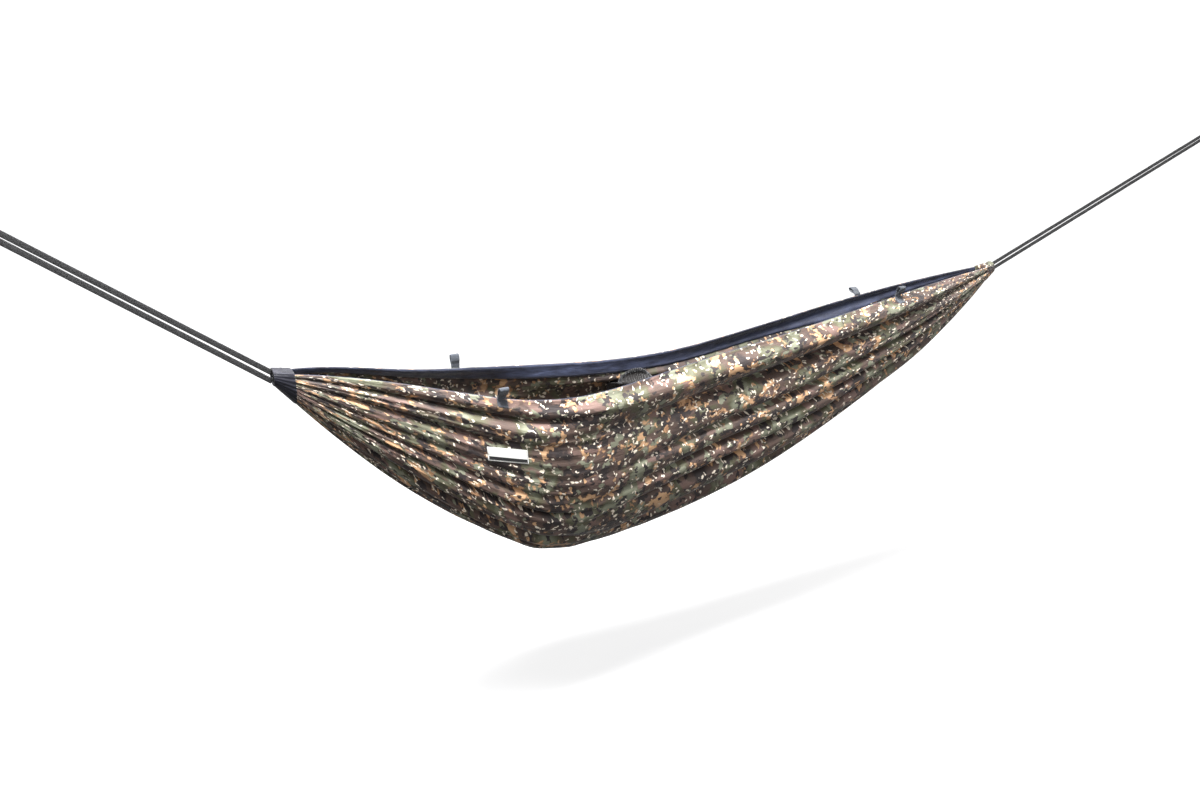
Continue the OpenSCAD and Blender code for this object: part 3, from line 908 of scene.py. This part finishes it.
def makeChannel(side, end, material, s):
    # a pleated cone: round at the webbing, straight to the section of the gathered cloth. Its outline has two
    # columns, distance from the mouth and place: 0 on the axis, 1 on the cavity's wall, 2 on the outer face
    name = "left" if side < 0 else "right"
    deep, long = s["cavityDepth"], s["length"]
    hollow = smoothLine(np.array([
        (deep, 0.02, 0), (deep, 0.85, 0), (deep - 0.002, 1, 0), (0.005, 1, 0), (0.0008, 1.1, 0), (0.0, 1.5, 0)]), 2)
    skin = smoothLine(np.array([
        (0.0, 1.5, 0), (0.0008, 1.95, 0), (0.003, 2, 0), (0.010, 2, 0), (0.020, 2, 0), (0.032, 2, 0),
        (long - 0.003, 2, 0), (long, 1.9, 0), (long - 0.001, 1.2, 0), (long - 0.012, 0.05, 0)]), 2)[1:]
    line = np.concatenate([hollow, skin])
    along, place = line[:, :1], line[:, 1:2]
    skinRow = (np.arange(len(line)) >= len(hollow))[:, None, None]
    p = np.linspace(0, 1, 6 * s["pleats"] + 1)[None, :-1]
    # the mouth's angle turns with p so that each rim meets the upper side that is nearer to it
    low, top = 1 - s["topShare"], 2 * math.pi / 3
    turn = np.where(p <= low, p / low * (2 * math.pi - top) - (math.pi - top) / 2,
                    1.5 * math.pi - top / 2 + (p - low) / s["topShare"] * top)
    circle = np.stack(np.broadcast_arrays(0 * place, -np.cos(turn), -np.sin(turn)), -1)
    radius = s["cavityRadius"] * np.clip(place, 0, 1) + s["wall"] * np.clip(place - 1, 0, 1)
    mouth = circle * radius[..., None]
    ring = gatheredRing(side * (1 - long / half) + 0 * (p + along), p + 0 * along, s)
    ring = ring * np.array([0.0, 1.0, 1.0]) - np.array([0.0, 0.0, end[2]])
    centre = ring.mean(axis=1, keepdims=True)
    reach = np.linalg.norm(ring - centre, axis=-1, keepdims=True)
    stand = 1 + s["clear"] / np.maximum(reach, 0.004)
    ring = centre + (ring - centre) * stand * np.clip(place, 0, 2)[..., None] / 2
    share = np.clip((along - 0.002) / (long - 0.004), 0, 1)[..., None] * skinRow
    shape = mouth * (1 - share) + ring * share
    wobble = softNoise(p * 8 + 3, np.zeros_like(p), 71 + side)
    pleat = s["pleatDepth"] * (np.abs(np.sin(np.pi * p * s["pleats"] + 0.6 * wobble)) - 0.5)
    radial = unit(shape - shape.mean(axis=1, keepdims=True))
    shape = shape + radial * (pleat * (place > 1.6) * (0.35 + 12 * along))[..., None]
    vertices = shape + np.array([end[0], 0.0, end[2]])
    vertices[..., 0] = end[0] - side * along
    faces = ringFaces(*vertices.shape[:2])
    uv = np.stack([along + 0 * p, p * 0.16 + 0 * along], -1).reshape(-1, 2)
    sleeve = makeObject(name + "_channel_cloth", vertices.reshape(-1, 3), faces, uv, material)
    facesOutward(sleeve)
    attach(sleeve, "bed")
    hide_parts(name + "_end_channel")
    return sleeve

leftChannel = makeChannel(-1, leftEnd, channelDark, channelSetup)
rightChannel = makeChannel(1, rightEnd, outerCloth, channelSetup)
print("end channels made")

# label, whose sizes stand with the folds, because the cloth lies flat behind it
def makeLabel(s):
    # a flat stiff patch laid on the cloth, so it follows the wall's slow curve and not its fine folds
    n, m = 41, 17
    along = np.linspace(-0.5, 0.5, n)[:, None] * s["size"][0]
    down = np.linspace(0, 1, m)[None, :] * s["size"][1] + s["depth"]
    t = s["at"] + along / half
    points, out = clothPoint(t, onWall("near", t, down), 0.0)
    corner = points[[0, -1], :][:, [0, -1]]
    p = np.linspace(0, 1, n)[:, None, None]
    q = np.linspace(0, 1, m)[None, :, None]
    flat = (corner[0, 0] * (1 - q) + corner[0, 1] * q) * (1 - p) + (corner[1, 0] * (1 - q) + corner[1, 1] * q) * p
    lay = unit(out.mean(axis=(0, 1)))
    height = (points - flat) @ lay
    clear = layerSetup["outerOff"] + layerSetup["thickness"] / 2 + s["gap"] + s["thickness"] / 2
    soft = np.maximum(height, 0.55 * height + 0.45 * height.max())
    points = flat + lay * (soft + clear)[..., None]
    uv = np.stack([along + 0 * down, s["depth"] + s["size"][1] / 2 - down + 0 * along], -1)
    face = np.broadcast_to(lay, points.shape)
    label = closedSheet("side_label_patch", points, face, s["thickness"], uv, labelSatin)
    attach(label, "bed")
    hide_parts("side_label")
    border = np.concatenate([points[1:-1, 1], points[-2, 1:-1], points[-2:0:-1, -2], points[1, -2:0:-1]])
    border = border + lay * (s["thickness"] / 2 + 0.0001)
    outs = np.broadcast_to(lay, border.shape)
    rows = stitches("side_label_stitches", border, outs, 0.0026, 0.0010, 0.0006, paleThread)
    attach(rows, "bed")
    return label, rows

labelPatch, labelRows = makeLabel(labelSetup)
print("label made")

# inside pocket
pocketSetup = {
    "at": -0.130, "width": 0.140, "top": 0.020, "arch": 0.060, "height": 0.108, "bulge": 0.026,
    "thickness": 0.0012,
    "pleats": 17, "pleatDepth": 0.0032, "gap": 0.0016,
    "elastic": {"height": 0.008, "thickness": 0.0014, "off": 0.0011, "puff": 0.0010},
}

def makePocket(s):
    # a gathered panel: it stands off the wall most at its mouth, and its pleats fan out from low in the middle
    n, m = 181, 57
    u = np.linspace(-1, 1, n)[:, None]
    w = np.linspace(0, 1, m)[None, :]
    lower = 1 - 0.45 * w ** 1.6
    t = s["at"] + u * lower * s["width"] / 2 / half
    arch = s["arch"] * np.abs(u) ** 2.2
    rise = arch + (s["height"] - arch) * w * (1 - 0.12 * np.abs(u) ** 2)
    stand = s["bulge"] * (1 - u ** 2) ** 0.8 * (1 - w ** 2)
    folds = np.abs(np.sin(np.pi * s["pleats"] / 2 * (u + 0.06 * np.sin(5 * u)))) ** 0.8
    pleat = s["pleatDepth"] * folds * (1 - u ** 4) * (0.35 + 0.65 * (1 - w) ** 0.7) * (1 - w ** 6)
    base = -(layerSetup["thickness"] + tapeSetup["gap"] + s["gap"])
    points, out = clothPoint(t, onWall("far", t, s["top"] + rise), base)
    points = points - out * (stand + pleat)[..., None]
    across = u * s["width"] / 2 * 1.6
    uv = np.stack([across + 0 * w, rise + 0 * u], -1)
    panel = closedSheet("pocket_panel_net", points, gridNormals(points), s["thickness"], uv, pocketNet)
    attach(panel, "bed")
    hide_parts("pocket_panel")
    e = s["elastic"]
    band = int(m * e["height"] / s["height"]) + 2
    strip = np.linspace(0, band - 1, 13)
    low = np.floor(strip).astype(int)
    part = (strip - low)[None, :, None]
    grid = points[:, low] * (1 - part) + points[:, np.minimum(low + 1, m - 1)] * part
    puff = e["puff"] * np.sin(np.pi * strip / strip[-1])[None, :, None]
    lined = grid - out[:, low] * (e["off"] + puff)
    uvBand = np.stack([rise[:, low], across + 0 * strip[None, :]], -1)
    elastic = closedSheet("pocket_elastic_hem", lined, gridNormals(lined), e["thickness"], uvBand, elasticBand)
    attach(elastic, "bed")
    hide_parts("pocket_elastic")
    return panel, elastic

pocketPanel, pocketHem = makePocket(pocketSetup)
print("pocket made")

# tie-out loops and their tacks
loopSetup = {
    "at": 0.574,
    "width": 0.024,
    "length": 0.032,
    "neck": 0.009,
    "half": 0.006,
    "thickness": 0.0020,
    "seat": 0.0048,          # from the rim's line up to the seam
    "rows": (0.0035, 0.0065),
    "root": {"below": 0.006, "above": 0.003, "thickness": 0.0040, "trim": 0.0006},
    "lean": {("near", "left"): 35, ("near", "right"): 30, ("far", "left"): -8, ("far", "right"): -65},
}
tackSetup = {"depth": (0.002, 0.022), "thickness": 0.0012, "gap": 0.0010}
rowStitch = (0.0018, 0.0006, 0.0007)    # a stitch's length, the gap to the next, and its width

def loopLine(s):
    # up from the seam side by side, out round a flat loop and back: y across and z up, before it leans
    r = s["half"] - s["thickness"] / 2
    gap = s["thickness"] / 2 + 0.0003
    top = s["length"] - s["half"]
    turn = np.linspace(0, np.pi, 15)
    rising = [(gap, 0.0), (gap, s["neck"] * 0.6), (gap + 0.0012, s["neck"]), (r, s["neck"] + 0.0055),
              (r + 0.0003, top * 0.8), (r, top)]
    over = np.stack([r * np.cos(turn), top + r * np.sin(turn)], -1)[1:-1]
    falling = [(-y, z) for y, z in rising[::-1]]
    line = np.concatenate([rising, over, falling])
    return np.column_stack([np.zeros(len(line)), line])

def leaned(y, z, lean):    # turned about the loop's own seam
    return y * math.cos(lean) - z * math.sin(lean), y * math.sin(lean) + z * math.cos(lean)

def makeLoop(edge, side, s):
    t = s["at"] * (-1 if side == "left" else 1)
    a = 0.0 if edge == "near" else np.pi
    seat = bedPoint(np.array(t), np.array(a), bedShape) + np.array([0, 0, s["seat"]])
    lean = math.radians(s["lean"][edge, side])
    line = resample(smoothLine(loopLine(s), 2), 90)
    path = seat + np.stack([line[:, 0], *leaned(line[:, 1], line[:, 2], lean)], -1)
    cross = repeated((1.0, 0.0, 0.0), len(path))
    name = f"{edge}_{side}_loop"
    piece = sweptStrap(name + "_webbing", path, cross, s["width"], s["thickness"], loopWebbing)
    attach(piece, name + "_body")
    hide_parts(name)
    rows = []
    for up in s["rows"]:
        for face in (-1, 1):
            place = leaned(face * (s["thickness"] + 0.0003), up, lean)
            ends = np.array([[end * 0.42 * s["width"], *place] for end in (-1, 1)]) + seat
            normal = repeated([0.0, *leaned(face, 0.0, lean)], 2)
            rows.append(stitches("loop_row", ends, normal, *rowStitch, paleThread))
    seam = joined(name + "_stitches", rows)
    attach(seam, name + "_body")
    # the doubled webbing between the hem and the loop, bent over at the loop's lean
    tall = np.linspace(-s["seat"] - s["root"]["below"], s["root"]["above"], 12)
    bend = np.clip(tall, 0, None)
    line = seat + np.stack([0 * tall, -bend * math.sin(lean), np.minimum(tall, 0) + bend * math.cos(lean)], -1)
    width = s["width"] - s["root"]["trim"]
    root = sweptStrap(name + "_root", line, cross[:12], width, s["root"]["thickness"], loopWebbing)
    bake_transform(root)

def makeTack(edge, side, s):
    # the webbing's flat ends on the outside of the hem, with a boxed cross of stitches
    t0 = loopSetup["at"] * (-1 if side == "left" else 1)
    n, m = 13, 15
    along = np.linspace(-0.5, 0.5, n)[:, None] * loopSetup["width"]
    down = np.linspace(*s["depth"], m)[None, :]
    t = t0 + along / half
    off = layerSetup["outerOff"] + layerSetup["thickness"] / 2 + s["gap"]
    points, out = clothPoint(t, onWall(edge, t, down), off)
    uv = np.stack([down + 0 * along, along + 0 * down], -1)
    patch = closedSheet(f"{edge}_{side}_tack", points, out, s["thickness"], uv, loopWebbing)
    face = points + out * (s["thickness"] / 2 + 0.0001)
    k = np.arange(1, n - 1)
    j = np.linspace(1, m - 2, n - 2).round().astype(int)
    lines = [(face[1, 1:-1], out[1, 1:-1]), (face[-2, 1:-1], out[-2, 1:-1]), (face[1:-1, 1], out[1:-1, 1]),
             (face[1:-1, -2], out[1:-1, -2]), (face[k, j], out[k, j]), (face[k[::-1], j], out[k[::-1], j])]
    rows = [stitches("tack_row", line, normal, *rowStitch, paleThread) for line, normal in lines]
    return patch, rows

tackPatches = []
tackRows = []
for edge in ("near", "far"):
    for side in ("left", "right"):
        makeLoop(edge, side, loopSetup)
        patch, rows = makeTack(edge, side, tackSetup)
        tackPatches.append(patch)
        tackRows += rows
tacks = joined("loop_tack_webbing", tackPatches)
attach(tacks, "bed")
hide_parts("loop_tacks")
tackStitches = joined("loop_tack_stitches", tackRows)
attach(tackStitches, "bed")
print("loops and tacks made")

# CAD nodes that stay: the two bights, given webbing
def paintNode(name, material):
    node = bpy.data.objects[name]
    node.data.materials.clear()
    node.data.materials.append(material)

def objectWebbing(name, dark, light):
    # webbing for a bare CAD mesh, so its ribs run on the object's own place
    material, tree, shader = newMaterial(name, roughness=0.72, sheen=0.3, specular=0.3)
    rib = waveAt(tree, objectPlace(tree), 300.0, "X", 0.3)
    worn = noiseAt(tree, objectPlace(tree), 60.0, 3.0, 0.6)
    share = times(tree, plus(tree, rib, worn), 0.5)
    feed(tree, shader.inputs["Base Color"], blendColour(tree, share, dark, light))
    bumped(tree, shader, rib, 0.0005, 0.7)
    return material

bightWebbing = objectWebbing("bight_webbing", rgb(30, 30, 32), rgb(84, 84, 86))
for name in ("left_bight", "right_bight"):
    paintNode(name, bightWebbing)

# floor, world and light
studio = {
    "floorHeight": -1.47,
    "floorPoints": 65,
    "paper": ((0.44, 0.44, 0.445, 1), (0.46, 0.46, 0.46, 1)),
    "floorSize": 60.0,
    "floorRise": 14.0,
    "sky": [(-1.0, 0.10), (-0.12, 0.15), (0.0, 0.62), (0.35, 0.98), (1.0, 1.3)],    # height and strength
    "glow": (0.505, 0.70),    # the floor's own light, near and far
    "glowReach": (1.2, 7.0),
    "skyStrength": 1.4,
    "lamp": {"place": (-1.1, -0.35, 2.6), "size": (1.9, 1.2), "power": 372.0},
}

def makeFloor(s):
    # a shallow dish whose height rises with the fourth power of the distance, so no edge shows
    n = s["floorPoints"]
    u = np.linspace(-1, 1, n)
    x, y = np.meshgrid(u * s["floorSize"] / 2, u * s["floorSize"] / 2, indexing="ij")
    far = np.hypot(x, y) / (s["floorSize"] / 2)
    z = s["floorHeight"] + s["floorRise"] * far ** 4
    vertices = np.stack([x + middle[0], y + middle[1], z], -1).reshape(-1, 3)
    index = np.arange(n * n).reshape(n, n)
    corners = [index[:-1, :-1], index[1:, :-1], index[1:, 1:], index[:-1, 1:]]
    faces = np.stack(corners, -1).reshape(-1, 4).tolist()
    material, tree, shader = newMaterial("floor_paper", roughness=0.9, specular=0.1)
    grain = noiseAt(tree, objectPlace(tree), 3.0, 2.0)
    feed(tree, shader.inputs["Base Color"], blendColour(tree, grain, *s["paper"]))
    inputs = {0: objectPlace(tree), 1: (middle[0], middle[1], s["floorHeight"])}
    distance = addNode(tree, "VectorMath", inputs, operation="DISTANCE").outputs["Value"]
    away = stepped(tree, distance, *s["glowReach"])
    near, far = s["glow"]
    shader.inputs["Emission Color"].default_value = (1, 1, 1, 1)
    feed(tree, shader.inputs["Emission Strength"], plus(tree, times(tree, away, far - near), near))
    floor = makeObject("floor", vertices, faces, vertices[:, :2] * 0.1, material)
    floor.visible_diffuse = False
    floor.visible_glossy = False

def makeSky(s):
    # white above the horizon, much darker below it, so that the underside of the cloth falls into shade
    world = bpy.data.worlds.new("studio")
    world.use_nodes = True
    tree = world.node_tree
    split = addNode(tree, "SeparateXYZ", {0: addNode(tree, "TexCoord").outputs["Generated"]})
    stops = [((height + 1) / 2, (strength / s["skyStrength"],) * 3 + (1,)) for height, strength in s["sky"]]
    sky = ramp(tree, stepped(tree, split.outputs["Z"], -1.0, 1.0), stops)
    background = tree.nodes["Background"]
    tree.links.new(sky, background.inputs["Color"])
    background.inputs["Strength"].default_value = s["skyStrength"]
    bpy.context.scene.world = world

def makeLamp(s):
    data = bpy.data.lights.new("softbox", "AREA")
    data.shape = "RECTANGLE"
    data.size, data.size_y = s["size"]
    data.energy = s["power"]
    lamp = bpy.data.objects.new("softbox", data)
    lamp.location = middle + np.array(s["place"])
    aim = -np.array(s["place"])
    lamp.rotation_euler = (math.atan2(aim[1], -aim[2]), 0, 0)
    bpy.context.scene.collection.objects.link(lamp)

makeFloor(studio)
makeSky(studio)
makeLamp(studio["lamp"])
bpy.context.scene.view_settings.view_transform = "Standard"
print("stage made")
